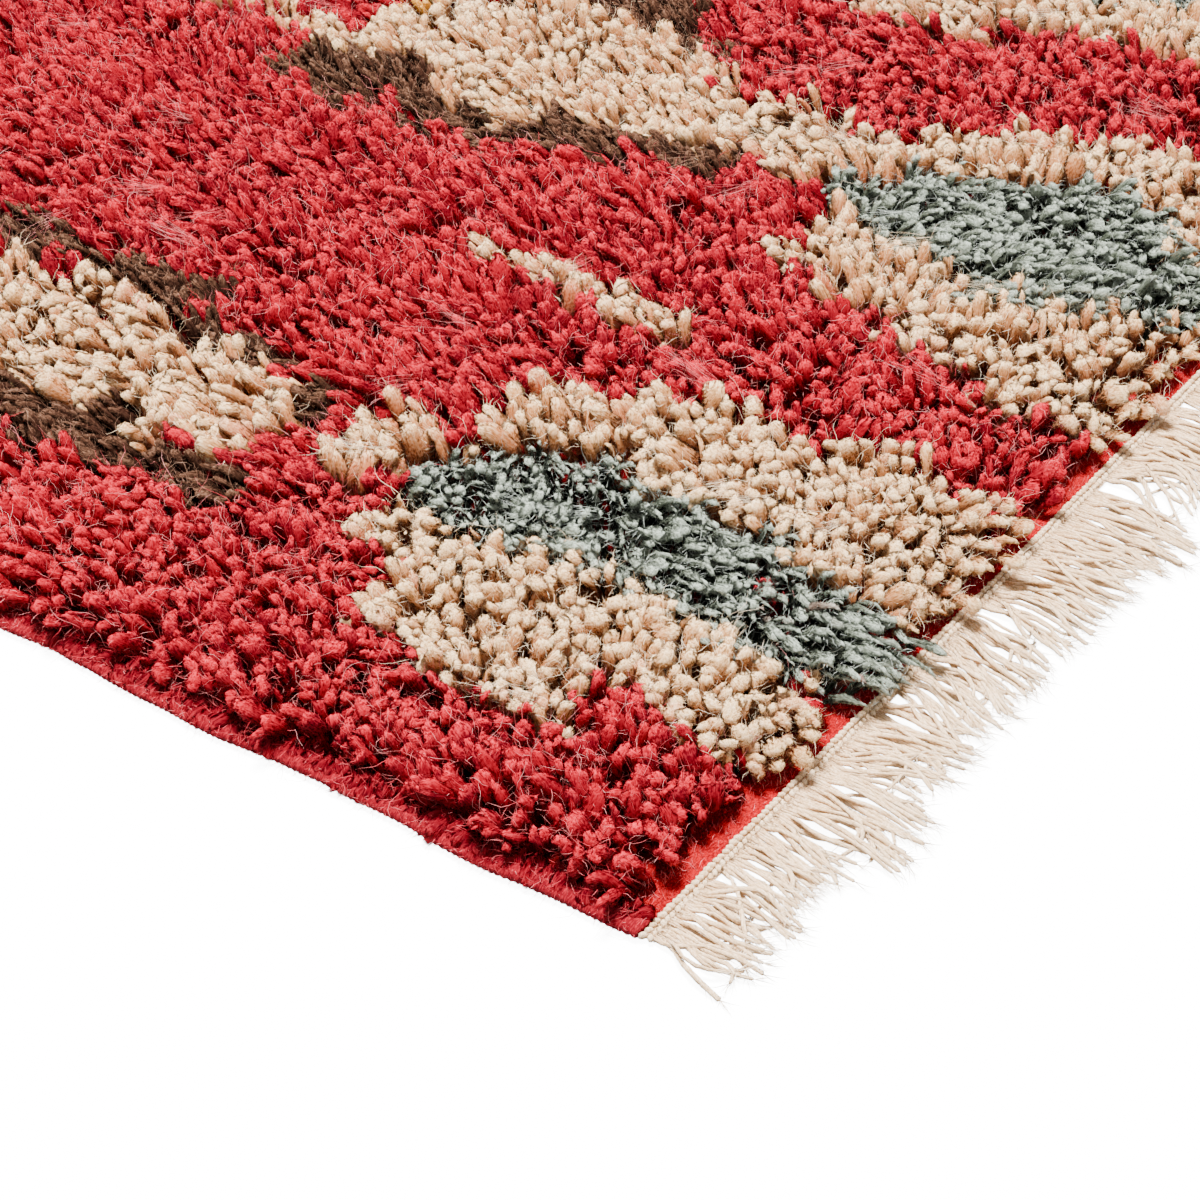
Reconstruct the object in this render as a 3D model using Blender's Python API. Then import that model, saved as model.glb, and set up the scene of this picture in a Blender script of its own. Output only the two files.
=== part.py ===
"""Hand-knotted wool shag rug: ground cloth, deep pile, side cords and fringed ends.

The rug lies flat on z = 0 with its centre over the origin. X runs across the rug, along the
fringed ends, and Y runs along it. All sizes are in metres.
"""

import math
import random

import bmesh
import bpy
from mathutils import Vector, noise

# Driving sizes
RUG_WIDTH = 1.200  # over both side cords
CLOTH_LENGTH = 1.800  # of the woven cloth, without the fringe
CLOTH_THICKNESS = 0.003
CORD_DIAMETER = 0.007  # overcast cord down each long side
END_BAND = 0.014  # flat-woven band between the pile and the fringe
EDGE_WIDTH = 0.005  # twined strip that holds the warp ends
EDGE_HEIGHT = 0.0035
FRINGE_LENGTH = 0.060
PILE_HEIGHT = 0.023  # mean height of the pile above the cloth
SEAT_GAP = 0.0003  # between pieces that touch
TOUCH = 1e-6  # two places closer than this are one

# Unevenness of the hand-made sides
SIDE_WAVE = 0.0020
SIDE_WAVE_LENGTH = 0.170
SIDE_STATIONS = 48

# Pile: lumps on top, and locks that stand out at the rim
PILE_CELLS_ACROSS = 37
PILE_CELLS_ALONG = 55
NARROW_CELL = 0.024  # the root of a rim lock
PILE_INSET = 0.002  # from the long edges of the cloth
LUMP_HEIGHT = 0.0075
LUMP_SIZE = 0.070
RIM_DROP = 0.004  # the pile is lower at its rim
WALL_BREAK = 0.0105  # height of the underside of the rim locks
SIDE_OVERHANG = 0.0055  # of the longest rim lock past the side cord
LOCK_REACH = 0.016  # of the longest rim lock at the two ends
LOCK_SHARES = (0.62, 0.97)  # of the longest reach, on all but one lock a side
LOCK_SWAY = 0.006  # sideways, along the rim
LOCK_SEED = 11

# Two sizes of hummock: how fine each is against LUMP_SIZE, and its share of LUMP_HEIGHT
HUMMOCKS = (
    {"fineness": 1.0, "share": 0.8},
    {"fineness": 2.3, "share": 0.7},
)

# Each step of a rim lock: share of its reach, drop, and size against the step before
LOCK_STEPS = (
    {"reach": 0.5, "drop": 0.001, "size": 0.90},
    {"reach": 0.5, "drop": 0.004, "size": 0.50},
)

# Fringe: bunches of warp ends that lie level on the floor
BUNCHES = 60
BUNCH_SHARE = 0.58  # of the pitch, at the root
BUNCH_SHARES = (0.80, 0.98)  # of the fringe's length, on all but one bunch an end
SWAY = 0.007  # sideways, in slow waves along the end
SWAY_BUNCHES = 6.5  # in one such wave
LEAN = 0.0025  # of each bunch on its own
FRINGE_SEED = 23

# Each step of a bunch: share of its length, width against the root, and height at its end
BUNCH_STEPS = (
    {"length": 0.34, "width": 1.00, "height": 0.0030},
    {"length": 0.36, "width": 0.86, "height": 0.0024},
    {"length": 0.30, "width": 0.45, "height": 0.0017},
)

# Finishes: colour in linear RGB, and roughness
PILE_RED = ((0.50, 0.045, 0.050, 1.0), 0.95)
CLOTH_RED = ((0.42, 0.020, 0.024, 1.0), 0.90)
CORD_RED = ((0.36, 0.018, 0.022, 1.0), 0.90)
WARP_ECRU = ((0.74, 0.63, 0.50, 1.0), 0.90)


def clear_scene():
    for old in list(bpy.data.objects):
        bpy.data.objects.remove(old, do_unlink=True)


def material(name, finish):
    colour, roughness = finish
    made = bpy.data.materials.new(name)
    made.use_nodes = True
    shader = made.node_tree.nodes["Principled BSDF"]
    shader.inputs["Base Color"].default_value = colour
    shader.inputs["Roughness"].default_value = roughness
    shader.inputs["Metallic"].default_value = 0.0
    made.diffuse_color = colour
    return made


def add_object(name, data, finish, collection):
    """Links a new object with its own material."""
    made = bpy.data.objects.new(name, data)
    data.materials.append(material(name, finish))
    collection.objects.link(made)
    return made


def mesh_from(shape, name):
    """Turns a bmesh into a mesh with its faces pointing out."""
    bmesh.ops.recalc_face_normals(shape, faces=shape.faces)
    mesh = bpy.data.meshes.new(name)
    shape.to_mesh(mesh)
    shape.free()
    return mesh


def side_edge(y):
    """Half the width of the cloth at y. Its long edges are as wavy as hand weaving leaves them."""
    inner = RUG_WIDTH / 2 - CORD_DIAMETER - SEAT_GAP - SIDE_WAVE
    turn = 2 * math.pi * y / SIDE_WAVE_LENGTH
    return inner + SIDE_WAVE * (0.7 * math.sin(turn) + 0.3 * math.cos(2.3 * turn))


def side_stations():
    step = CLOTH_LENGTH / SIDE_STATIONS
    return [-CLOTH_LENGTH / 2 + i * step for i in range(SIDE_STATIONS + 1)]


def poly_spline(curve, points, closed):
    spline = curve.splines.new("POLY")
    spline.points.add(len(points) - 1)
    for point, place in zip(spline.points, points):
        point.co = (*place, 1.0)
    spline.use_cyclic_u = closed


def ground_cloth(collection):
    """The whole woven cloth, whose two ends show as flat bands."""
    right = [(side_edge(y), y, 0.0) for y in side_stations()]
    left = [(-side_edge(y), y, 0.0) for y in reversed(side_stations())]
    outline = bpy.data.curves.new("ground_cloth", "CURVE")
    outline.dimensions = "2D"
    outline.fill_mode = "BOTH"
    outline.extrude = CLOTH_THICKNESS / 2
    poly_spline(outline, right + left, closed=True)
    cloth = add_object("ground_cloth", outline, CLOTH_RED, collection)
    cloth.location.z = CLOTH_THICKNESS / 2
    return cloth


def side_cord(name, side, collection):
    """Warps bound over with wool, along one long edge of the cloth."""
    radius = CORD_DIAMETER / 2
    line = bpy.data.curves.new(name, "CURVE")
    line.dimensions = "3D"
    line.bevel_depth = radius
    line.bevel_resolution = 2
    line.use_fill_caps = True
    places = [(side * (side_edge(y) + SEAT_GAP + radius), y, radius) for y in side_stations()]
    poly_spline(line, places, closed=False)
    return add_object(name, line, CORD_RED, collection)


def pile_stations(start, end, cells):
    """Places of the grid's lines: wide cells at even places and the rim locks' narrow ones between."""
    narrow = cells // 2
    wide_cell = (end - start - narrow * NARROW_CELL) / (cells - narrow)
    places = [start]
    for i in range(cells):
        places.append(places[-1] + (NARROW_CELL if i % 2 else wide_cell))
    return places


def pile_top(x, y, at_rim):
    """Height of the pile's lumpy top."""
    place = Vector((x, y, 0.0)) / LUMP_SIZE
    height = CLOTH_THICKNESS + SEAT_GAP + PILE_HEIGHT
    for hummock in HUMMOCKS:
        height += LUMP_HEIGHT * hummock["share"] * noise.noise(hummock["fineness"] * place)
    return height - (RIM_DROP if at_rim else 0.0)


def root_width(face):
    """Level width of a wall face."""
    places = [corner.co.xy for corner in face.verts]
    return max((a - b).length for a in places for b in places)


def outward(face):
    """The level axis direction that a wall face looks in, past the waves of its side."""
    return Vector((round(face.normal.x), round(face.normal.y), 0.0))


def grow_lock(shape, face, direction, reach, sway):
    """Draws one wall face out into a rim lock that droops and narrows."""
    across = Vector((-direction.y, direction.x, 0.0))
    for step in LOCK_STEPS:
        face = bmesh.ops.extrude_discrete_faces(shape, faces=[face])["faces"][0]
        middle = face.calc_center_median()
        shift = direction * reach * step["reach"] + across * sway * step["reach"]
        shift.z = -step["drop"]
        for corner in face.verts:
            corner.co = middle + (corner.co - middle) * step["size"] + shift


def shag_pile(collection):
    """The knotted pile as one lumpy slab with locks at its rim."""
    half_length = CLOTH_LENGTH / 2 - END_BAND
    rows = pile_stations(-half_length, half_length, PILE_CELLS_ALONG)
    half_width = side_edge(0.0) - PILE_INSET
    columns = pile_stations(-half_width, half_width, PILE_CELLS_ACROSS)

    shape = bmesh.new()
    bmesh.ops.create_grid(
        shape, x_segments=PILE_CELLS_ACROSS, y_segments=PILE_CELLS_ALONG, size=1.0
    )
    for corner in shape.verts:
        column = round((corner.co.x + 1) / 2 * PILE_CELLS_ACROSS)
        row = round((corner.co.y + 1) / 2 * PILE_CELLS_ALONG)
        y = rows[row]
        x = columns[column] * (side_edge(y) - PILE_INSET) / half_width
        at_rim = column in (0, PILE_CELLS_ACROSS) or row in (0, PILE_CELLS_ALONG)
        corner.co = (x, y, pile_top(x, y, at_rim))

    rim = [edge for edge in shape.edges if edge.is_boundary]
    walls = []
    for height in (WALL_BREAK, CLOTH_THICKNESS + SEAT_GAP):
        made = bmesh.ops.extrude_edge_only(shape, edges=rim)["geom"]
        for corner in (part for part in made if isinstance(part, bmesh.types.BMVert)):
            corner.co.z = height
        walls.append([part for part in made if isinstance(part, bmesh.types.BMFace)])
        rim = [
            part for part in made if isinstance(part, bmesh.types.BMEdge) and part.is_boundary
        ]
    bmesh.ops.edgeloop_fill(shape, edges=rim)
    bmesh.ops.recalc_face_normals(shape, faces=shape.faces)

    chance = random.Random(LOCK_SEED)
    widest = NARROW_CELL + 2 * SIDE_WAVE
    roots = [face for face in walls[0] if root_width(face) < widest]
    limits = Vector((RUG_WIDTH / 2 + SIDE_OVERHANG, half_length + LOCK_REACH, 0.0))
    sides_begun = set()
    for face in roots:
        direction = outward(face)
        longest = direction[:] not in sides_begun
        sides_begun.add(direction[:])
        reach = abs(direction.dot(limits)) - direction.dot(face.calc_center_median())
        reach *= 1.0 if longest else chance.uniform(*LOCK_SHARES)
        sway = 0.0 if longest else chance.uniform(-LOCK_SWAY, LOCK_SWAY)
        grow_lock(shape, face, direction, reach, sway)
    return add_object("shag_pile", mesh_from(shape, "shag_pile"), PILE_RED, collection)


def grow_bunch(shape, face, end, length, sway, lean):
    """Draws one face of the strip out into a bunch of warp ends, level on the floor."""
    root = face.calc_center_median()
    root_half = root_width(face) / 2
    centre = root.x
    run = 0.0
    for step in BUNCH_STEPS:
        face = bmesh.ops.extrude_discrete_faces(shape, faces=[face])["faces"][0]
        run += step["length"]
        next_centre = root.x + sway * math.sin(run * math.pi / 2) + lean * run * run
        for corner in face.verts:
            side = 1.0 if corner.co.x > centre else -1.0
            top = corner.co.z > 0.0
            corner.co.x = next_centre + side * root_half * step["width"]
            corner.co.y = root.y + end * length * run
            corner.co.z = step["height"] if top else 0.0
        centre = next_centre


def fringe(name, end, collection):
    """One end's twined strip, with the bunches of warp ends fused into it."""
    inner = CLOTH_LENGTH / 2 + SEAT_GAP
    half_width = RUG_WIDTH / 2 - SIDE_WAVE
    shape = bmesh.new()
    bmesh.ops.create_cube(shape, size=1.0)
    bmesh.ops.scale(shape, vec=(2 * half_width, EDGE_WIDTH, EDGE_HEIGHT), verts=shape.verts)
    bmesh.ops.translate(
        shape,
        vec=(0.0, end * (inner + EDGE_WIDTH / 2), EDGE_HEIGHT / 2),
        verts=shape.verts,
    )
    front = end * (inner + EDGE_WIDTH)
    long_edges = [
        edge
        for edge in shape.edges
        if all(abs(corner.co.y - front) < TOUCH for corner in edge.verts)
        and edge.calc_length() > half_width
    ]
    bmesh.ops.subdivide_edges(shape, edges=long_edges, cuts=2 * BUNCHES, use_grid_fill=True)

    # The cuts fall where the bunches begin and end
    pitch = 2 * half_width / BUNCHES
    gap = pitch * (1 - BUNCH_SHARE) / 2
    step = 2 * half_width / (2 * BUNCHES + 1)
    for corner in shape.verts:
        cut = round((corner.co.x + half_width) / step)
        if 0 < cut < 2 * BUNCHES + 1:
            bunch, far = divmod(cut - 1, 2)
            corner.co.x = -half_width + bunch * pitch + (pitch - gap if far else gap)
    bmesh.ops.recalc_face_normals(shape, faces=shape.faces)

    chance = random.Random(FRINGE_SEED + (end > 0))
    front_faces = [
        face
        for face in shape.faces
        if all(abs(corner.co.y - front) < TOUCH for corner in face.verts)
        and root_width(face) > pitch - 2 * gap - TOUCH
    ]
    front_faces.sort(key=lambda face: face.calc_center_median().x)
    for i, face in enumerate(front_faces):
        longest = i == BUNCHES // 2
        length = FRINGE_LENGTH * (1.0 if longest else chance.uniform(*BUNCH_SHARES))
        sway = SWAY * math.sin(2 * math.pi * i / SWAY_BUNCHES + end)
        grow_bunch(shape, face, end, length, sway, chance.uniform(-LEAN, LEAN))
    return add_object(name, mesh_from(shape, name), WARP_ECRU, collection)


def main():
    clear_scene()
    rug = bpy.data.collections.new("berber_rug")
    bpy.context.scene.collection.children.link(rug)
    ground_cloth(rug)
    shag_pile(rug)
    side_cord("side_cord_left", -1.0, rug)
    side_cord("side_cord_right", 1.0, rug)
    fringe("fringe_front", -1.0, rug)
    fringe("fringe_back", 1.0, rug)


main()
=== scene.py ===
import math

import bmesh
import bpy
import numpy as np
from mathutils import Matrix, Vector
from mathutils.bvhtree import BVHTree


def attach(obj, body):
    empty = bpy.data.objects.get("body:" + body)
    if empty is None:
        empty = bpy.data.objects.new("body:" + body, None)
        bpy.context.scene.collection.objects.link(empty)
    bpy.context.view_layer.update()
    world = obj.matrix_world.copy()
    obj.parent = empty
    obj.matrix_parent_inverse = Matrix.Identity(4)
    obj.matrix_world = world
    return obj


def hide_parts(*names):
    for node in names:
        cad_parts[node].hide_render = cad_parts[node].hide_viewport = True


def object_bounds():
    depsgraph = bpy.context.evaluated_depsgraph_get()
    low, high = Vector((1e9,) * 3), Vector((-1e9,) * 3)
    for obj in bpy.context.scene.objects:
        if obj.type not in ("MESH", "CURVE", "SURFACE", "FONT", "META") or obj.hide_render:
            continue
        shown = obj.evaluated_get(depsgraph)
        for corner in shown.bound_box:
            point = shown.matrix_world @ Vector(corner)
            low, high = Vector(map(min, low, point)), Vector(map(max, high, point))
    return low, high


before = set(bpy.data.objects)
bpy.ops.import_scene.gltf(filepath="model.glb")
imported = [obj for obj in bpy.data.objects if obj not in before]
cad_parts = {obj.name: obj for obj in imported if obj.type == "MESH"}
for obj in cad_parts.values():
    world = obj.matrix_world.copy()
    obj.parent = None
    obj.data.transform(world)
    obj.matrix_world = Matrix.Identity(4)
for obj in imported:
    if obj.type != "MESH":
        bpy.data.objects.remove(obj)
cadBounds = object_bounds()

millimetre = 0.001

# The rug as it is woven, to match the solids. X is across, Y along, both from the middle
rug = {
    "width": 1.200,
    "clothLength": 1.800,
    "clothThickness": 0.003,
    "cordDiameter": 0.007,
    "twineWidth": 0.005,
    "seatGap": 0.0003,
    "sideWave": 0.0020,  # how far the long edges wander
    "sideWaveLength": 0.170,
    "headroom": 0.008,  # of stray fibres above the solids
}
halfCloth = rug["clothLength"] / 2
clothTop = rug["clothThickness"]
highest = cadBounds[1][2] + rug["headroom"]
cornerX = -rug["width"] / 2  # of the corner that the camera looks at
cornerY = -halfCloth - rug["twineWidth"]


def sideEdge(y):
    inner = rug["width"] / 2 - rug["cordDiameter"] - rug["seatGap"] - rug["sideWave"]
    turn = 2 * math.pi * y / rug["sideWaveLength"]
    return inner + rug["sideWave"] * (0.7 * np.sin(turn) + 0.3 * np.cos(2.3 * turn))


def linear(hexColour):
    parts = [int(hexColour[i:i + 2], 16) / 255 for i in (1, 3, 5)]
    return tuple(p / 12.92 if p <= 0.04045 else ((p + 0.055) / 1.055) ** 2.4 for p in parts) + (1.0,)


def addNode(tree, kind, given):
    # given is settings and inputs of the node, an input being a value or the output of another node
    node = tree.nodes.new("ShaderNode" + kind)
    for name, value in given.items():
        if isinstance(value, bpy.types.NodeSocket):
            tree.links.new(value, node.inputs[name])
        elif isinstance(name, str) and hasattr(node, name):
            setattr(node, name, value)
        else:
            node.inputs[name].default_value = value
    return node


def mixed(tree, share, first, second, blend="MIX"):
    given = {"data_type": "RGBA", "blend_type": blend, 0: share, 6: first, 7: second}
    return addNode(tree, "Mix", given).outputs[2]


def remapped(tree, value, low, high, toLow=0.0, toHigh=1.0, curve="LINEAR"):
    return addNode(tree, "MapRange", {
        "interpolation_type": curve, "Value": value,
        "From Min": low, "From Max": high, "To Min": toLow, "To Max": toHigh,
    }).outputs[0]


def computed(tree, operation, *values):
    return addNode(tree, "Math", {"operation": operation, **dict(enumerate(values))}).outputs[0]


def noise(tree, place, scale, detail, curl=0.0):
    given = {"Vector": place, "Scale": scale, "Detail": detail, "Distortion": curl}
    return addNode(tree, "TexNoise", given).outputs["Fac"]


def attribute(tree, name, output="Fac"):
    return addNode(tree, "Attribute", {"attribute_name": name}).outputs[output]


def bumped(tree, height, relief):
    # relief in mm
    given = {"Strength": 1.0, "Distance": relief * millimetre, "Height": height}
    return addNode(tree, "Bump", given).outputs[0]


def shadeWith(tree, given):
    shader = addNode(tree, "BsdfPrincipled", given)
    addNode(tree, "OutputMaterial", {"Surface": shader.outputs[0]})


def per(size):
    # scale of a pattern whose features are that many mm
    return 1 / (size * millimetre)


def newMaterial(name):
    made = bpy.data.materials.new(name)
    made.use_nodes = True
    tree = made.node_tree
    tree.nodes.clear()
    return made, tree


def drift(x, y, size, seed):
    # smooth random drift from -1 to 1, one new value for each size metres
    table = np.random.default_rng(seed).uniform(-1, 1, (128, 128))
    u = np.asarray(x) / size + 61.3
    v = np.asarray(y) / size + 57.7
    i = np.floor(u).astype(int)
    j = np.floor(v).astype(int)
    a = u - i
    b = v - j
    a = a * a * (3 - 2 * a)
    b = b * b * (3 - 2 * b)
    near = table[i % 128, j % 128] * (1 - a) + table[(i + 1) % 128, j % 128] * a
    far = table[i % 128, (j + 1) % 128] * (1 - a) + table[(i + 1) % 128, (j + 1) % 128] * a
    return near * (1 - b) + far * b


def ease(value, low, high):
    t = np.clip((value - low) / (high - low), 0, 1)
    return t * t * (3 - 2 * t)


def unit(vectors):
    return vectors / np.maximum(np.linalg.norm(vectors, axis=-1, keepdims=True), 1e-9)


def points(x, y, z):
    # rows of x, y and z, any of which may be one number
    return np.stack(np.broadcast_arrays(x, y, z), axis=-1)


def heading(turn):
    return np.stack([np.cos(turn), np.sin(turn)])


def shapeArrays(shape):
    # corners, face corners and face starts of a bmesh, ready to be repeated
    shape.verts.index_update()
    corners = np.array([v.co[:] for v in shape.verts])
    loops = np.array([v.index for f in shape.faces for v in f.verts])
    starts = np.cumsum([0] + [len(f.verts) for f in shape.faces])[:-1]
    shape.free()
    return corners, loops, starts


def joinedMesh(name, corners, loops, starts, fields=None):
    # one mesh from arrays, the fields are point attributes
    mesh = bpy.data.meshes.new(name)
    mesh.vertices.add(len(corners))
    mesh.vertices.foreach_set("co", np.ascontiguousarray(corners, dtype=np.float32).ravel())
    mesh.loops.add(len(loops))
    mesh.loops.foreach_set("vertex_index", loops.astype(np.int32))
    mesh.polygons.add(len(starts))
    mesh.polygons.foreach_set("loop_start", starts.astype(np.int32))
    mesh.update(calc_edges=True)
    mesh.polygons.foreach_set("use_smooth", np.full(len(starts), True))
    for field, values in (fields or {}).items():
        kind, slot = ("FLOAT", "value") if values.ndim == 1 else ("FLOAT_VECTOR", "vector")
        made = mesh.attributes.new(field, kind, "POINT")
        made.data.foreach_set(slot, np.ascontiguousarray(values, dtype=np.float32).ravel())
    mesh.validate()
    return meshPiece(name, mesh)


def meshPiece(name, mesh):
    piece = bpy.data.objects.new(name, mesh)
    bpy.context.scene.collection.objects.link(piece)
    return piece


def closedPiece(name, shape):
    # a smooth piece from a bmesh, with faces over its open ends
    bmesh.ops.holes_fill(shape, edges=[edge for edge in shape.edges if edge.is_boundary], sides=0)
    bmesh.ops.recalc_face_normals(shape, faces=shape.faces)
    mesh = bpy.data.meshes.new(name)
    shape.to_mesh(mesh)
    shape.free()
    mesh.polygons.foreach_set("use_smooth", np.full(len(mesh.polygons), True))
    return meshPiece(name, mesh)


def repeated(loops, starts, points, count):
    # face corners and face starts of that many copies of a shape with that many points
    copies = np.arange(count)[:, None]
    return (loops[None, :] + points * copies).ravel(), (starts[None, :] + len(loops) * copies).ravel()


def finishPiece(piece, material, node):
    # the piece takes its material, lies on the rug and stands in for a node of the frame
    piece.data.materials.append(material)
    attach(piece, "root")
    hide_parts(node)
    triangles = len(piece.data.loops) - 2 * len(piece.data.polygons)
    print(piece.name, triangles, "triangles")
    return triangles


def bundle(parts):
    # several (corners, loops, starts, fields) made into one
    corners, loops, starts, fields = [], [], [], {}
    base = first = 0
    for part in parts:
        corners.append(part[0])
        loops.append(part[1] + base)
        starts.append(part[2] + first)
        for key, values in part[3].items():
            fields.setdefault(key, []).append(values)
        base += len(part[0])
        first += len(part[1])
    fields = {key: np.concatenate(values) for key, values in fields.items()}
    return np.concatenate(corners), np.concatenate(loops), np.concatenate(starts), fields


def bentCopies(which, shape, pointOf, made):
    # copies of a straight lock or strand, each bent along its own middle line.
    # made holds radius, roll, twist, tone and the direction that the cross-section starts from
    corners, loops, starts = shape
    share = corners[None, :, 2]
    middle, direction = pointOf(which, share)
    across = made["reference"][which][:, None, :]
    across = unit(across - direction * (across * direction).sum(-1, keepdims=True))
    over = np.cross(direction, across)
    angle = made["roll"][which][:, None] + made["twist"][which][:, None] * share
    flatX = corners[None, :, 0] * np.cos(angle) - corners[None, :, 1] * np.sin(angle)
    flatY = corners[None, :, 0] * np.sin(angle) + corners[None, :, 1] * np.cos(angle)
    size = made["radius"][which][:, None, None]
    out = middle + size * (flatX[..., None] * across + flatY[..., None] * over)
    # the same place on the straight lock, so that its fibres wind as it does
    length = made["length"][which][:, None]
    offset = (which * 0.37 % 50)[:, None] * 0.1
    strand = np.stack([
        corners[None, :, 0] * size[..., 0] + offset,
        corners[None, :, 1] * size[..., 0] + 0 * share,
        share * length,
    ], axis=-1)
    loops, starts = repeated(loops, starts, len(corners), len(which))
    fields = {
        "strand": strand.reshape(-1, 3),
        "along": np.broadcast_to(share, out.shape[:2]).reshape(-1),
        "tone": np.broadcast_to(made["tone"][which][:, None], out.shape[:2]).reshape(-1),
        "stain": np.broadcast_to(made["stain"][which][:, None], out.shape[:2]).reshape(-1),
    }
    return out.reshape(-1, 3), loops, starts, fields


def lockShape(sides, rows, oval, unevenness, chance):
    # a straight lock of length 1 and radius 1, drawn up ring by ring
    shape = bmesh.new()
    bmesh.ops.create_circle(shape, cap_ends=True, radius=rows[0][1], segments=sides)
    bmesh.ops.scale(shape, vec=(1 + oval, 1 - oval, 1), verts=shape.verts)
    shape.faces.ensure_lookup_table()
    face = shape.faces[0]
    size = rows[0][1]
    height = 0.0
    for share, radius in rows[1:]:
        face = bmesh.ops.extrude_discrete_faces(shape, faces=[face])["faces"][0]
        ring = list(face.verts)
        if radius == 0:
            bmesh.ops.pointmerge(shape, verts=ring, merge_co=(0, 0, share))
            break
        uneven = radius * (1 + chance.uniform(-unevenness, unevenness))
        middle = face.calc_center_median()
        bmesh.ops.scale(shape, vec=(uneven / size, uneven / size, 1), verts=ring,
                        space=Matrix.Translation(-middle))
        for corner in ring:
            corner.co += (corner.co - middle) * chance.uniform(-unevenness, unevenness) * 0.8
        shift = (chance.uniform(-unevenness, unevenness) * 0.8,
                 chance.uniform(-unevenness, unevenness) * 0.8, share - height)
        bmesh.ops.translate(shape, vec=shift, verts=ring)
        size = uneven
        height = share
    bmesh.ops.holes_fill(shape, edges=shape.edges, sides=sides)
    bmesh.ops.recalc_face_normals(shape, faces=shape.faces)
    return shapeArrays(shape)


def looseFibres(base, direction, out, look, chance, toneOf):
    # flat ribbons that taper to a point, each one a fibre that leaves base and curls away.
    # toneOf gives as many tones as it is asked for
    count = len(base)
    stations = look["stations"]
    length = chance.uniform(*look["length"], count)
    start = direction * look["follow"] + out * look["stand"]
    start = unit(start + chance.normal(0, look["scatter"], (count, 3)))
    side = unit(np.cross(start, unit(chance.normal(0, 1, (count, 3)))))
    lift = np.cross(side, start)
    t = np.linspace(0, 1, stations)[None, :, None]
    reach = length[:, None, None]
    wind = chance.uniform(0.4, 1.0, count)[:, None, None] * look["turns"] * 2 * math.pi
    path = base[:, None, :] + reach * (start[:, None, :] * t + lift[:, None, :] * look["bend"] * t * t)
    swing = side[:, None, :] * np.sin(t * wind) + lift[:, None, :] * np.cos(t * wind)
    path = path + reach * look["wave"] * t * swing
    half = side[:, None, :] * look["width"] * 0.5 * (1 - 0.5 * t)
    ribbon = np.concatenate([(path - half)[:, :-1], (path + half)[:, :-1], path[:, -1:]], axis=1)
    ribbon[..., 2] = np.clip(ribbon[..., 2], 0.0006, highest)
    last = stations - 1
    faces = [(i, i + last, i + last + 1, i + 1) for i in range(last - 1)]
    faces.append((last - 1, 2 * last - 1, 2 * last))
    loops = np.concatenate([np.array(face) for face in faces])
    starts = np.cumsum([0] + [len(face) for face in faces])[:-1]
    corners = 2 * stations - 1
    loops, starts = repeated(loops, starts, corners, count)
    share = np.linspace(0, 1, stations)
    along = np.tile(np.concatenate([share[:-1], share[:-1], share[-1:]]), count)
    tones = np.clip(toneOf(count), 0, 1).repeat(corners)
    return ribbon.reshape(-1, 3), loops, starts, {"tone": tones, "along": along}


# Camera, where the photographer stood: low over the corner, looking along the diagonal
view = {
    "fromCorner": (-0.6970, -0.4665, 0.8140),
    "turn": 35.2,  # degrees from the view's direction to the fringed end
    "down": 36.87,
    "focal": 2700,  # pixels, in the 1200 pixel frame
    "frame": 1200,
}
turn = math.radians(view["turn"])
down = math.radians(view["down"])
lookDirection = Vector((math.cos(turn) * math.cos(down), math.sin(turn) * math.cos(down), -math.sin(down)))
camera = bpy.data.cameras.new("camera")
camera.sensor_width = 36
camera.lens = camera.sensor_width * view["focal"] / view["frame"]
camera.clip_start = 0.05
cameraObject = bpy.data.objects.new("camera", camera)
cameraObject.location = Vector((cornerX, cornerY, 0)) + Vector(view["fromCorner"])
cameraObject.rotation_euler = lookDirection.to_track_quat("-Z", "Y").to_euler()
bpy.context.scene.collection.objects.link(cameraObject)
bpy.context.scene.camera = cameraObject


def inFrame(places, margin):
    # which places fall in the picture or its margin in pixels, and how far from the camera they lie
    eye = np.array(cameraObject.location)
    basis = np.array(lookDirection.to_track_quat("-Z", "Y").to_matrix())
    seen = (places - eye) @ basis
    depth = -seen[:, 2]
    half = view["frame"] / 2 + margin
    inside = (depth > 0.1) & (np.abs(seen[:, 0]) * view["focal"] < half * depth)
    return inside & (np.abs(seen[:, 1]) * view["focal"] < half * depth), depth


print("camera set")

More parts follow.
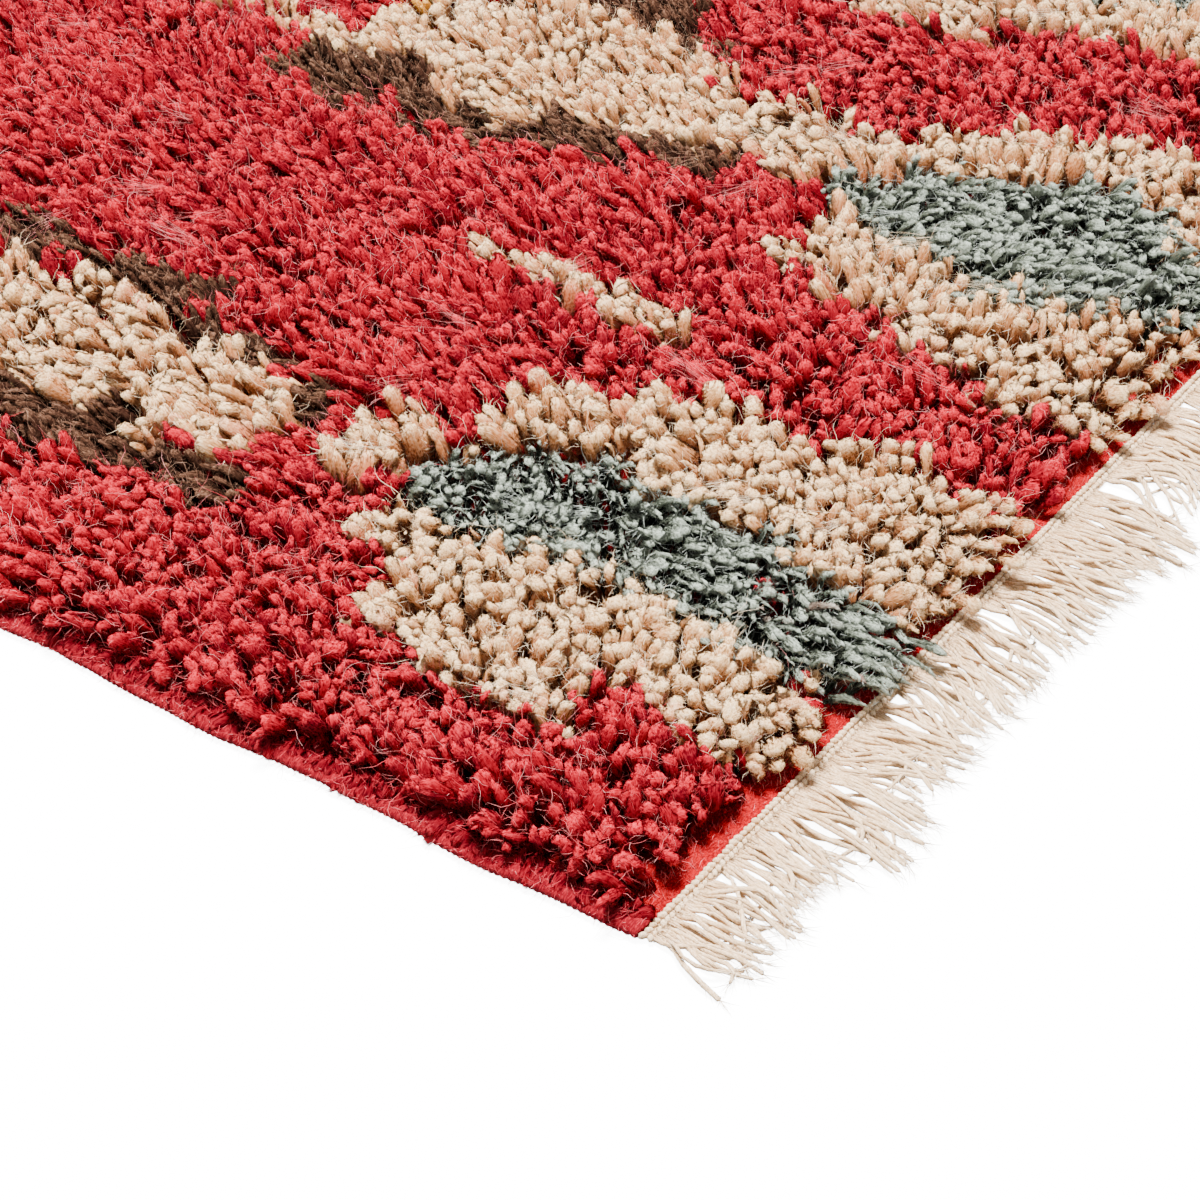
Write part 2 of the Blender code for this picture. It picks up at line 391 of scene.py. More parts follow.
# The pattern, in mm. Each motif is strips of yarn round its middle, later ones over earlier ones.
# A strip is its bottom, top, left and right
motifs = {
    "lozengeSlim": {
        "beige": (
            (-200, -120, -40, 112), (-120, -80, -104, 134), (-80, -40, -102, 140), (-40, 50, -140, 132),
            (50, 95, -126, 122), (95, 140, -88, 104), (140, 192, -34, 30),
        ),
        "green": (
            (-150, -55, -42, 28), (-55, 10, -32, 42), (10, 55, -37, 46), (55, 110, -42, 52),
            (110, 140, -32, 6),
        ),
        "red": ((-78, -66, -4, 10),),
    },
    "lozengeBroad": {
        "beige": (
            (-200, -138, -80, 30), (-138, -100, -148, 122), (-100, -55, -160, 146), (-55, 20, -138, 154),
            (20, 65, -115, 134), (65, 120, -97, 106), (120, 170, -10, 79), (170, 230, 5, 86),
        ),
        "green": (
            (-125, -83, -41, 36), (-83, -37, -60, 79), (-37, 12, -69, 88), (12, 47, -41, 70),
            (47, 93, -32, 51), (93, 130, -14, 16),
        ),
    },
    "lozengeTall": {
        "beige": (
            (-190, -60, -70, 60), (-60, 15, -95, 118), (15, 90, -120, 130), (90, 190, -156, 138),
            (190, 262, -120, 112), (262, 300, -60, 54),
        ),
        "green": ((-100, 40, -34, 30), (40, 150, -52, 46), (150, 215, -36, 32)),
    },
    "barSlim": {
        "brown": (
            (-138, -105, -82, -44), (-142, -108, 10, 56), (-108, -30, -84, -50), (-40, -20, -84, 62),
            (-86, -8, 36, 62), (-20, 60, -88, -40), (-8, 108, 56, 88), (108, 172, 38, 92),
            (60, 150, -60, -20),
        ),
        "beige": (
            (-118, -74, -40, 36), (-74, -38, -54, 38), (-42, -18, -22, 26), (-22, 22, -44, 46),
            (22, 92, -48, 58), (92, 140, -22, 40),
        ),
    },
    "barBroad": {
        "brown": (
            (-166, -104, -72, -20), (-166, -140, 18, 40), (-104, -36, -98, -42), (-84, -38, 58, 94),
            (-38, 36, -118, -66), (-38, 56, 80, 140), (36, 74, -104, -64), (56, 112, 60, 112),
            (74, 160, -122, -50),
        ),
        "beige": (
            (-158, -104, -42, 34), (-104, -38, -50, 62), (-38, 36, -78, 80), (36, 74, -68, 92),
            (74, 150, -50, 60),
        ),
    },
    "dash": {
        "beige": ((-72, 12, -15, 12), (12, 92, -6, 20)),
    },
    "fleck": {
        "ochre": ((-24, 24, -10, 10),),
    },
}
# Where the motifs lie: x and y in mm from the near left corner of the cloth, and -1 for half a turn
placed = (
    ("lozengeSlim", 217, 138, 1), ("lozengeBroad", 595, 138, 1), ("lozengeTall", 978, 200, 1),
    ("barSlim", 197, 492, 1), ("barBroad", 632, 498, 1), ("barSlim", 1000, 640, -1),
    ("dash", 400, 320, 1), ("fleck", 655, 642, 1), ("lozengeBroad", 205, 905, -1),
    ("lozengeSlim", 700, 935, -1), ("dash", 590, 714, -1), ("lozengeSlim", 985, 985, 1),
    ("dash", 392, 1090, -1), ("dash", 806, 740, 1), ("barBroad", 208, 1292, -1),
    ("barSlim", 590, 1285, -1), ("barBroad", 985, 1325, 1), ("dash", 800, 1490, -1),
    ("lozengeTall", 214, 1660, -1), ("lozengeBroad", 600, 1668, -1), ("lozengeSlim", 980, 1664, -1),
)
yarnNames = ("red", "beige", "green", "brown", "ochre")


def yarnAt(x, y):
    # number of the yarn that a knot at x, y is tied with
    right = (x + rug["width"] / 2) / millimetre
    along = (y + halfCloth) / millimetre
    right = right + 7 * drift(x, y, 0.034, 1) + 4 * drift(x, y, 0.014, 2)
    along = along + 8 * drift(x, y, 0.040, 3) + 5 * drift(x, y, 0.014, 4)
    found = np.zeros(len(x), dtype=int)
    for motif, middleX, middleY, side in placed:
        u = (right - middleX) * side
        v = (along - middleY) * side
        for yarn, strips in motifs[motif].items():
            for bottom, top, left, rightmost in strips:
                found[(u > left) & (u < rightmost) & (v > bottom) & (v < top)] = yarnNames.index(yarn)
    return found


# Wool and yarn materials
# root is painted shade deep in the pile, tip and haze are paler shades used as painted highlight, deep and
# body are the dye
shadeNames = ("root", "deep", "body", "tip", "haze", "fibre")
shades = {
    "red": ("#5A030C", "#500410", "#8A0718", "#9C0E1E", "#C83640", "#F8B4AE"),
    "beige": ("#844222", "#A0663A", "#BA8652", "#D2AA78", "#EED2AC", "#F8E8D0"),
    "green": ("#383B2E", "#4A5042", "#656B5D", "#838A7B", "#B0B8AA", "#DCE0DA"),
    "brown": ("#1C0C08", "#28150E", "#352016", "#483023", "#745341", "#A68570"),
    "ochre": ("#7C3F10", "#A26116", "#BC7C1D", "#D49935", "#E7BC7C", "#EFCB8E"),
    "ecru": ("#9A623A", "#BA8656", "#D2A678", "#E2C096", "#F4DEC2", "#F4E4CE"),
}
wool = {name: dict(zip(shadeNames, map(linear, row))) for name, row in shades.items()}
# Sizes in mm. Real fibres of 0.03 mm are too fine to show, so they are drawn in wisps of many
woolPattern = {
    "wisp": 0.9,
    "wispLength": 7.0,
    "curl": 1.4,
    "fleece": 1.7,
    "fleeceShare": 0.45,
    "relief": 0.65,
    "ragged": 1.8,  # how far stray fibres break up the outline
    "solid": 0.14,  # facing of the lens at which it starts to thin
    "air": 0.62,  # and at which it has gone
}
# Where along a lock, from 0 at its knot to 1, the shades take over from the body colour: the pale tip and
# pale streaks are painted highlight, the dark root painted shade
tipHighlightFrom = (0.72, 1.0)
rootShadeUpTo = (0.30, 0.90, 1.0, 0.0)
streakHighlightFrom = (0.65, 1.0, 0.15, 0.95)
# What part of the fleece is pale streaks (painted highlight) or dark grooves (painted shade)
streakFleece = (0.47, 0.66)
grooveShadeFleece = (0.34, 0.50, 0.62, 1.0)


def woolMaterial(name, colours, pattern, stainColour):
    # spun wool: matt and soft, with a painted highlight where the cut ends catch the light and painted shade
    # down between them
    made, tree = newMaterial(name)
    strand = attribute(tree, "strand", "Vector")
    along = attribute(tree, "along")
    stretch = (per(pattern["wisp"]), per(pattern["wisp"]), per(pattern["wispLength"]))
    stretched = addNode(tree, "VectorMath", {"operation": "MULTIPLY", 0: strand, 1: stretch}).outputs[0]
    wisps = noise(tree, stretched, 1.0, 1.0, pattern["curl"])
    fleece = noise(tree, strand, per(pattern["fleece"]), 1.0)
    given = {"data_type": "FLOAT", 0: pattern["fleeceShare"], 2: wisps, 3: fleece}
    woolly = addNode(tree, "Mix", given).outputs[0]
    colour = mixed(tree, attribute(tree, "tone"), colours["deep"], colours["body"])
    # painted highlight: each lock pales towards its tip, where the light falls
    colour = mixed(tree, remapped(tree, along, *tipHighlightFrom), colour, colours["tip"])
    # painted shade: each lock darkens down towards its knot, where the locks shade one another
    colour = mixed(tree, remapped(tree, along, *rootShadeUpTo), colour, colours["root"])
    # painted highlight: pale streaks of the fleece, stronger towards the tip where the fibres catch the
    # light
    streak = remapped(tree, woolly, *streakFleece)
    paleHighlight = computed(tree, "MULTIPLY", streak, remapped(tree, along, *streakHighlightFrom))
    colour = mixed(tree, paleHighlight, colour, colours["haze"])
    # painted shade in the grooves between the fibres
    colour = mixed(tree, 1.0, colour, remapped(tree, woolly, *grooveShadeFleece), "MULTIPLY")
    colour = mixed(tree, attribute(tree, "stain"), colour, stainColour)
    # the outline of a lock is only stray fibres with air between them
    facing = addNode(tree, "LayerWeight", {"Blend": 0.5}).outputs["Facing"]
    thin = computed(tree, "SUBTRACT", 0.5, woolly)
    fluff = computed(tree, "MULTIPLY_ADD", thin, pattern["ragged"], facing)
    cover = remapped(tree, fluff, pattern["solid"], pattern["air"], 1.0, 0.0, "SMOOTHSTEP")
    made.use_transparent_shadow = False
    shadeWith(tree, {
        "Roughness": 0.95, "Specular IOR Level": 0.01, "Sheen Weight": 0.08, "Sheen Roughness": 0.5,
        "Sheen Tint": colours["haze"], "Base Color": colour, "Alpha": cover,
        "Normal": bumped(tree, woolly, pattern["relief"]),
    })
    return made


def fibreMaterial(name, colours):
    # single loose fibres, paler than the yarn because light passes through them
    made, tree = newMaterial(name)
    dye = mixed(tree, attribute(tree, "tone"), colours["haze"], colours["fibre"])
    colour = mixed(tree, attribute(tree, "along"), colours["haze"], dye)
    shadeWith(tree, {"Roughness": 0.85, "Specular IOR Level": 0.02, "Base Color": colour})
    return made


softPattern = dict(woolPattern, ragged=1.7, wisp=0.7, wispLength=9.0)  # longer fibres, combed straight
woolMaterials = {}
for name in yarnNames:
    pattern = softPattern if name in ("green", "brown") else woolPattern
    woolMaterials[name] = woolMaterial("soft spun wool, " + name, wool[name], pattern, wool["red"]["tip"])
fibreMaterials = {name: fibreMaterial("loose wool fibre, " + name, wool[name]) for name in wool}

# Pile: rows of knots, each with two or more cut ends that stand up as locks
pile = {
    "seed": 5,
    "rowPitch": 0.0120,  # between rows of knots, along the rug
    "knotPitch": 0.0130,  # between knots in a row
    "jitter": 0.0020,
    "sideInset": 0.0012,  # from the cloth's long edges
    "endInset": 0.0145,  # from its short edges
    "lean": 0.013,  # how far a tip lies from above its knot
    "leanTurn": 117,  # degrees from +X
    "leanStart": 0.05,  # the pile stands up at the near end, and leans past here
    "leanFull": 0.38,
    "combed": (-0.0092, -0.0165),  # how the green locks all fall over to one side
    "overhang": 0.010,  # of the locks at the rim
    "endOverhang": 0.001,
    "reachOver": 0.014,  # of beige and green locks over the band
    "heightSpread": 0.0058,
    "nearDepth": 1.42,  # from the camera, closer locks have more faces
    "frameMargin": 40,  # pixels round the picture
    "sparse": 0.38,  # share of knots left out elsewhere
    "middleHeight": 0.015,
    "beside": 0.012,  # a knot this close to red may be stained by it
    "edgeTop": 0.018,  # of the pile where the solid has no top
    "leanLeast": 0.12,  # share of the lean at the near end
    "fallShare": 0.8,  # of the lean, where the tips show their colour
    "combedShare": 0.6,
    "sideRim": 0.022,  # width of the rim where locks fall outwards
    "lowest": 0.009,
    "tallest": 0.0345,
}
# Short locks that hang over the side cords
hang = {
    "pitch": 0.0036,
    "endInset": 0.004,
    "sideInset": 0.0005,
    "reach": (0.0065, 0.0120),
    "sway": 0.0035,
    "tipAbove": (-0.0035, -0.0005),  # above its root
    "arch": 0.019,  # how steeply it rises before it falls
}
# Patches that fell one way or another, size and reach of a tip in m
swirls = (
    {"size": 0.052, "reach": 0.0065, "seed": 26},
    {"size": 0.021, "reach": 0.0042, "seed": 28},
)
# Tips draw together along lines: size of the tufts in m, and how strongly they gather
gathers = ({"size": 0.022, "pull": 8.0e-5, "seed": 24}, {"size": 0.046, "pull": 1.5e-4, "seed": 25})
yarnColumns = ("ends", "thickness", "spread", "height", "lean", "slot")
yarnRows = {
    "red": (2, 0.0096, 0.0032, 1.00, 1.0, "pile_red"),
    "beige": (2, 0.0106, 0.0032, 1.04, 1.0, "pile_beige"),
    "green": (4, 0.0074, 0.0044, 0.98, 0.3, "pile_green"),
    "brown": (4, 0.0066, 0.0040, 0.94, 1.2, "pile_brown"),
    "ochre": (2, 0.0078, 0.0030, 1.00, 1.0, "pile_beige"),
}
yarns = {name: dict(zip(yarnColumns, row)) for name, row in yarnRows.items()}
# How thick a lock is along its length: share of the length, share of the radius
lockForms = {
    "round": {
        "near": ((0, 0.50), (0.45, 0.84), (0.78, 1.04), (0.94, 0.70), (1, 0)),
        "middle": ((0, 0.50), (0.40, 0.92), (0.76, 1.04), (0.94, 0.72), (1, 0)),
    },
    "pointed": {
        "near": ((0, 0.50), (0.32, 0.90), (0.56, 1.0), (0.76, 0.82), (0.92, 0.42), (1, 0)),
        "middle": ((0, 0.50), (0.36, 0.94), (0.64, 0.94), (0.86, 0.54), (1, 0)),
    },
    "wispy": {
        "near": ((0, 0.45), (0.26, 0.80), (0.46, 0.84), (0.68, 0.56), (0.88, 0.26), (1, 0)),
        "middle": ((0, 0.45), (0.32, 0.84), (0.58, 0.70), (0.82, 0.36), (1, 0)),
    },
    "plain": {"plain": ((0, 0.70), (0.60, 1.25), (1, 0))},
}
lockSides = {"near": 6, "middle": 6, "plain": 3}
slimSides = {"near": 5, "middle": 5, "plain": 3}  # of green and brown locks
variants = 4  # of each form


def perYarn(key):
    return np.array([yarns[name][key] for name in yarnNames])


def leanGrown(fromFront):
    # the pile stands up at the near end and leans more and more past it
    least = pile["leanLeast"]
    return least + (1 - least) * ease(fromFront, pile["leanStart"], pile["leanFull"])


red, beige, green, brown = range(4)  # the yarns' numbers
chance = np.random.default_rng(pile["seed"])
halfPile = halfCloth - pile["endInset"]
rowCount = int(2 * halfPile / pile["rowPitch"])
columnCount = int(rug["width"] / pile["knotPitch"])
rowY = np.linspace(-halfPile, halfPile, rowCount)
columnX = (np.arange(columnCount) + 0.5) / columnCount * 2 - 1
knotX, knotY = np.meshgrid(columnX, rowY)
knotX = knotX + (np.arange(rowCount) % 2)[:, None] * 0.5 / columnCount
knotX = knotX * (sideEdge(knotY) - pile["sideInset"])
knots = np.stack([knotX.ravel(), knotY.ravel()])
knots = knots + chance.uniform(-1, 1, knots.shape) * pile["jitter"]
# a row of short ones along each side hangs over its cord
hangEnd = halfCloth - hang["endInset"]
hangY = np.tile(np.arange(-halfCloth + hang["endInset"], hangEnd, hang["pitch"]), 2)
hangX = np.where(np.arange(len(hangY)) < len(hangY) // 2, -1, 1) * (sideEdge(hangY) - hang["sideInset"])
hanging = np.arange(knots.shape[1] + len(hangX)) >= knots.shape[1]
knots = np.concatenate([knots, [hangX, hangY]], axis=1)
# fewer and thicker locks where the camera doesn't look
knotShown, knotDepth = inFrame(points(*knots, pile["middleHeight"]), pile["frameMargin"])
kept = knotShown | (chance.uniform(0, 1, len(hanging)) > pile["sparse"])
knots = knots[:, kept]
knotShown = knotShown[kept]
knotNear = knotShown & (knotDepth[kept] < pile["nearDepth"])
hanging = hanging[kept]
# the pattern is seen on the tips, so each knot takes the colour of the place where its tips come to lie
fallTurn = math.radians(pile["leanTurn"])
fall = pile["fallShare"] * pile["lean"] * leanGrown(knots[1] + halfCloth)
combedOver = np.array(pile["combed"])[:, None]
knotYarn = yarnAt(*(knots + fall * heading(fallTurn)[:, None]))
combedYarn = yarnAt(*(knots + pile["combedShare"] * combedOver))
knotYarn = np.where((knotYarn == green) | (combedYarn == green), combedYarn, knotYarn)
knotYarn = np.where(hanging, red, knotYarn)
besideRed = np.zeros(len(hanging), dtype=bool)
for turn in ((1, 0), (-1, 0), (0, 1), (0, -1)):
    besideRed |= yarnAt(*(knots + pile["beside"] * np.array(turn)[:, None])) == red
besideRed &= (knotYarn != red) & ~hanging

ends = perYarn("ends")[knotYarn]
ends = np.where(knotShown, ends, np.minimum(ends, 3)) + (knotNear & (ends == 2) & ~hanging)
owner = np.repeat(np.arange(len(ends)), ends)
number = np.arange(len(owner)) - (np.cumsum(ends) - ends)[owner]
lockYarn = knotYarn[owner]
lockCount = len(owner)

# ends of a knot stand side by side
sideTurn = 2 * math.pi * number / ends[owner] + chance.uniform(-0.6, 0.6, lockCount)
spread = perYarn("spread")[lockYarn] * chance.uniform(0.7, 1.25, lockCount)
spread = spread * np.where(knotNear[owner], 1.35, 1)
rootX, rootY = knots[:, owner] + spread * heading(sideTurn) * np.array([[1.1], [0.85]])
edgeX = sideEdge(rootY)
rootX = np.clip(rootX, -edgeX, edgeX)
root = points(rootX, rootY, clothTop - 0.0005)

surface = BVHTree.FromObject(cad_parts["shag_pile"], bpy.context.evaluated_depsgraph_get())
solidTop = []
for x, y in knots.T:
    hit = surface.ray_cast(Vector((x, y, 0.2)), Vector((0, 0, -1)))[0]
    solidTop.append(hit.z if hit else pile["edgeTop"])
solidTop = np.array(solidTop)
height = (solidTop[owner] - clothTop) * perYarn("height")[lockYarn]
height = height + chance.normal(0, 0.6, lockCount) * pile["heightSpread"]

fromFront = rootY + halfCloth
fromEnd = np.minimum(fromFront, halfCloth - rootY)
leanShare = leanGrown(fromFront) * (1 + 0.35 * drift(rootX, rootY, 0.11, 21)) * perYarn("lean")[lockYarn]
leanTurn = fallTurn + 0.42 * drift(rootX, rootY, 0.16, 22) + 0.30 * drift(rootX, rootY, 0.05, 23)
combed = lockYarn == green
lean = pile["lean"] * leanShare * heading(leanTurn) + combedOver * combed
for swirl in swirls:
    drifts = [drift(rootX, rootY, swirl["size"], swirl["seed"] + axis) for axis in (0, 1)]
    lean = lean + swirl["reach"] * np.array(drifts)
step = 0.001
furrow = 0.6  # the furrows run along the rug
for gather in gathers:
    size = gather["size"]
    seed = gather["seed"]
    v = rootY * furrow
    slopeX = drift(rootX + step, v, size, seed) - drift(rootX - step, v, size, seed)
    slopeY = drift(rootX, v + step, size, seed) - drift(rootX, v - step, size, seed)
    lean = lean + gather["pull"] * np.array([slopeX, slopeY]) / (2 * step) * np.array([[1], [furrow]])
unruly = 0.0034 + 0.0014 * (1 - ease(fromFront, 0.08, 0.34))
tipX, tipY = lean + chance.normal(0, 1, lean.shape) * unruly

# at the rim the locks fall outwards, and beige and green ones reach over the bare band
atSide = ease(np.abs(rootX), edgeX - pile["sideRim"], edgeX)
rim = np.maximum(atSide, ease(-fromEnd, -0.035, -0.015))
tipX = tipX + pile["overhang"] * np.sign(rootX) * atSide
outward = np.where(rootY < 0, -1, 1)
tipY = tipY + outward * pile["endOverhang"] * ease(-fromEnd, -0.040, -0.012)
tipY = tipY + outward * pile["reachOver"] * (lockYarn != red) * ease(-fromEnd, -0.075, -0.012)
droop = np.clip(chance.uniform(0.15, 0.75, lockCount) + 0.5 * rim + 0.5 * combed, 0, 1.2)
height = np.clip(height * (1 - 0.22 * rim), pile["lowest"], pile["tallest"])
hung = hanging[owner]
tipX = np.where(hung, np.sign(rootX) * chance.uniform(*hang["reach"], lockCount), tipX)
tipY = np.where(hung, chance.normal(0, hang["sway"], lockCount), tipY)
height = np.where(hung, chance.uniform(*hang["tipAbove"], lockCount), height)
droop = np.where(hung, hang["arch"] / np.minimum(height, -0.0004), droop)
tip = points(tipX, tipY, height)

bend = chance.uniform(0.25, 0.70, lockCount)
sway = chance.uniform(-1, 1, (lockCount, 2)) * 0.0020
thickness = perYarn("thickness")[lockYarn] * np.clip(chance.lognormal(0, 0.17, lockCount), 0.66, 1.40)
thickness = thickness * np.where(knotNear[owner], 0.98, 1) * np.where(hung, 0.90, 1)
endsLeftOut = np.sqrt(perYarn("ends")[lockYarn] / ends[owner])
thickness = thickness * np.where(knotShown[owner], 1, 1.15 * endsLeftOut)

# how deep or how pink the dye took: in patches, in bands along the rug and lock by lock. The locks that hang
# over the cords take a deeper tone, a painted shade for the rim that faces away from the light
tone = 0.5 + 0.26 * drift(rootX, rootY, 0.13, 31) + 0.14 * drift(rootX * 0.12, rootY, 0.045, 32)
tone = tone + 0.22 * drift(rootX, rootY, 0.02, 33) + chance.normal(0, 0.36, lockCount) - 0.9 * hung
stain = np.where(besideRed[owner] & (lockYarn != brown), chance.uniform(-0.35, 0.34, lockCount), 0)
locks = {
    "radius": thickness / 2,
    "roll": chance.uniform(0, 2 * math.pi, lockCount),
    "twist": chance.uniform(-2.6, 2.6, lockCount),
    "length": np.linalg.norm(tip, axis=1) * 1.1,
    "tone": np.clip(tone, 0, 1),
    "stain": np.clip(stain, 0, 1),
    "reference": points(*heading(np.arctan2(tipY, tipX) + math.pi / 2), 0),
}

levelNames = ("near", "middle", "plain")  # plain ones are out of the picture
level = np.where(knotShown[owner], np.where(knotNear[owner] & ~hung, 0, 1), 2)
formNames = ("round", "pointed", "wispy")
draw = chance.uniform(0, 1, lockCount)
roundShare = np.where(lockYarn == beige, 0.80, 0.62) - 0.30 * ease(fromFront, 0.20, 0.50)
roundShare = np.where((lockYarn == green) | (lockYarn == brown), 0.45, roundShare)
form = np.where((draw < roundShare) | hung, 0, np.where(draw < 0.93, 1, 2))


def lockPoint(which, share):
    # place and direction on the middle lines of those locks, at a row of shares of their length
    t = np.broadcast_to(share, (len(which), share.shape[-1]))[:, :, None]
    lean = tip[which][:, None, :]
    b = bend[which][:, None, None]
    d = droop[which][:, None, None]
    wave = sway[which][:, None, :]
    flat = lean[..., :2] * ((1 - b) * t + b * t * t) + wave * np.sin(5 * t)
    rise = lean[..., 2:] * ((1 + d) * t - d * t * t)
    flatSlope = lean[..., :2] * ((1 - b) + 2 * b * t) + 5 * wave * np.cos(5 * t)
    riseSlope = lean[..., 2:] * ((1 + d) - 2 * d * t)
    place = root[which][:, None, :] + np.concatenate([flat, rise], axis=-1)
    return place, unit(np.concatenate([flatSlope, riseSlope], axis=-1))


def fibresOf(which, perLock, look, chance):
    # loose fibres on the outer half of those locks
    owners = np.repeat(which, perLock)
    count = len(owners)
    share = chance.uniform(look["from"], 1.0, count)
    place, direction = lockPoint(owners, share[:, None])
    place = place[:, 0]
    direction = direction[:, 0]
    out = unit(chance.normal(0, 1, (count, 3)) + np.array([0, 0, 0.5]))
    out = unit(out - direction * (out * direction).sum(-1, keepdims=True))
    bulge = np.interp(share, (0, 0.4, 0.75, 0.92, 1), (0.5, 0.92, 1, 0.7, 0))
    base = place + out * (locks["radius"][owners] * bulge)[:, None] * 0.9
    tones = locks["tone"][owners]
    return looseFibres(base, direction, out, look, chance, lambda n: tones + chance.normal(0.1, 0.2, n))


# Loose fibres. from is the share of the lock above which they stand, the lengths and widths are in m
spikes = {
    "stations": 2, "scatter": 0.35, "from": 0.30, "length": (0.0022, 0.0052), "follow": 0.8, "stand": 0.9,
    "bend": 0.0, "wave": 0.0, "turns": 0, "width": 0.00022,
}
fuzz = {
    "stations": 3, "scatter": 0.35, "from": 0.35, "length": (0.0035, 0.0090), "follow": 0.8, "stand": 0.8,
    "bend": 0.5, "wave": 0.16, "turns": 1.0, "width": 0.00018,
}
strays = {
    "stations": 6, "scatter": 0.35, "from": 0.45, "length": (0.008, 0.022), "follow": 0.8, "stand": 0.7,
    "bend": 0.5, "wave": 0.22, "turns": 1.0, "width": 0.00016,
}
# wisps of many fibres that were pulled out and lie over the pile
wisps = {
    "stations": 8, "scatter": 0.11, "length": (0.022, 0.046), "follow": 1.0, "stand": 0.0, "bend": 0.30,
    "wave": 0.06, "turns": 1.0, "width": 0.00012,
}
wispsOf = {"red": 20, "beige": 14, "green": 4, "brown": 4, "ochre": 0}
wispFibres = 24
# spikes, fuzz, and the share of locks with a stray
fibresPerLock = {
    "red": (0, 6, 1.00),
    "beige": (3, 5, 0.60),
    "green": (5, 3, 0.25),
    "brown": (7, 2, 0.50),
    "ochre": (8, 3, 0.75),
}


def wispsOver(which, count, chance):
    # each wisp starts on one lock and its fibres run on side by side over the next ones
    inside = which[(np.abs(rootX[which]) < edgeX[which] - 0.06) & (fromEnd[which] > 0.07)]
    owners = np.repeat(chance.choice(inside, count), wispFibres)
    turns = np.repeat(fallTurn + chance.normal(0, 0.5, count), wispFibres)
    base = lockPoint(owners, np.full((len(owners), 1), 0.9))[0][:, 0]
    base = base + chance.normal(0, 0.0020, base.shape) + np.array([0, 0, 0.0015])
    along = points(*heading(turns), 0)
    return looseFibres(base, along, along, wisps, chance, lambda n: chance.uniform(0.3, 1, n))


mostTriangles = 190000  # in one piece
chunkSize = 1500  # locks bent at a time
shapeChance = np.random.default_rng(77)
fibreChance = np.random.default_rng(78)
total = 0
for yarnNumber, yarn in enumerate(yarnNames):
    parts = []
    for levelNumber, levelName in enumerate(levelNames):
        for formNumber, formName in enumerate(formNames):
            if levelName == "plain" and formNumber:
                continue
            slim = yarn in ("green", "brown")
            sides = slimSides if slim else lockSides
            rowsFor = "middle" if slim and levelName == "near" else levelName
            rows = lockForms["plain" if levelName == "plain" else formName][rowsFor]
            chosen = (lockYarn == yarnNumber) & (level == levelNumber)
            if levelName != "plain":
                chosen &= form == formNumber
            chosen = np.flatnonzero(chosen)
            for variant in range(variants):
                uneven = 0 if levelName == "plain" else 0.20
                shape = lockShape(sides[levelName], rows, uneven, uneven, shapeChance)
                part = chosen[variant::variants]
                for chunk in np.array_split(part, max(1, math.ceil(len(part) / chunkSize))):
                    if len(chunk):
                        parts.append(bentCopies(chunk, shape, lockPoint, locks))
    group, size, made = [], 0, 0
    for part in parts + [None]:
        more = 0 if part is None else len(part[1]) - 2 * len(part[2])
        if group and (part is None or size + more > mostTriangles):
            made += 1
            corners, loops, starts, fields = bundle(group)
            corners[:, 2] = np.clip(corners[:, 2], 0.0004, highest)
            piece = joinedMesh(f"pile_{yarn}_{made}", corners, loops, starts, fields)
            total += finishPiece(piece, woolMaterials[yarn], "shag_pile")
            group, size = [], 0
        if part is not None:
            group.append(part)
            size += more
    visible = np.flatnonzero((lockYarn == yarnNumber) & (level < 2))
    straight, bent, long = fibresPerLock[yarn]
    few = visible[fibreChance.uniform(0, 1, len(visible)) < long]
    fibres = [fibresOf(visible, bent, fuzz, fibreChance), fibresOf(few, 1, strays, fibreChance)]
    if straight:
        fibres.append(fibresOf(visible, straight, spikes, fibreChance))
    if wispsOf[yarn]:
        fibres.append(wispsOver(visible, wispsOf[yarn], fibreChance))
    piece = joinedMesh(f"fuzz_{yarn}", *bundle(fibres))
    total += finishPiece(piece, fibreMaterials[yarn], "shag_pile")
print("pile made:", lockCount, "locks,", total, "triangles")

# Ground cloth: weft-faced wool, bare only in the bands at its ends
cloth = {
    "columns": 50,
    "bandRows": 44,
    "middleRows": 60,
    "band": 0.0165,  # modelled finely up to here from each end
    "ribPitch": 0.0015,  # between wefts, as coarse as it needs to show
    "ribHeight": 0.0005,
    "knuckle": 1.7,  # mm, where a weft rises over each warp
    "relief": 0.8,  # mm
    "darkIn": 0.027,  # from each end, where the pile has shaded it fully
    "darkOut": 0.018,  # and where that starts
    "underside": 0.0003,  # above the floor
}
bandColours = {
    "deep": linear("#92080F"),
    "body": linear("#B00E18"),
    "tip": linear("#CC2A32"),
    "haze": linear("#DC464C"),
}


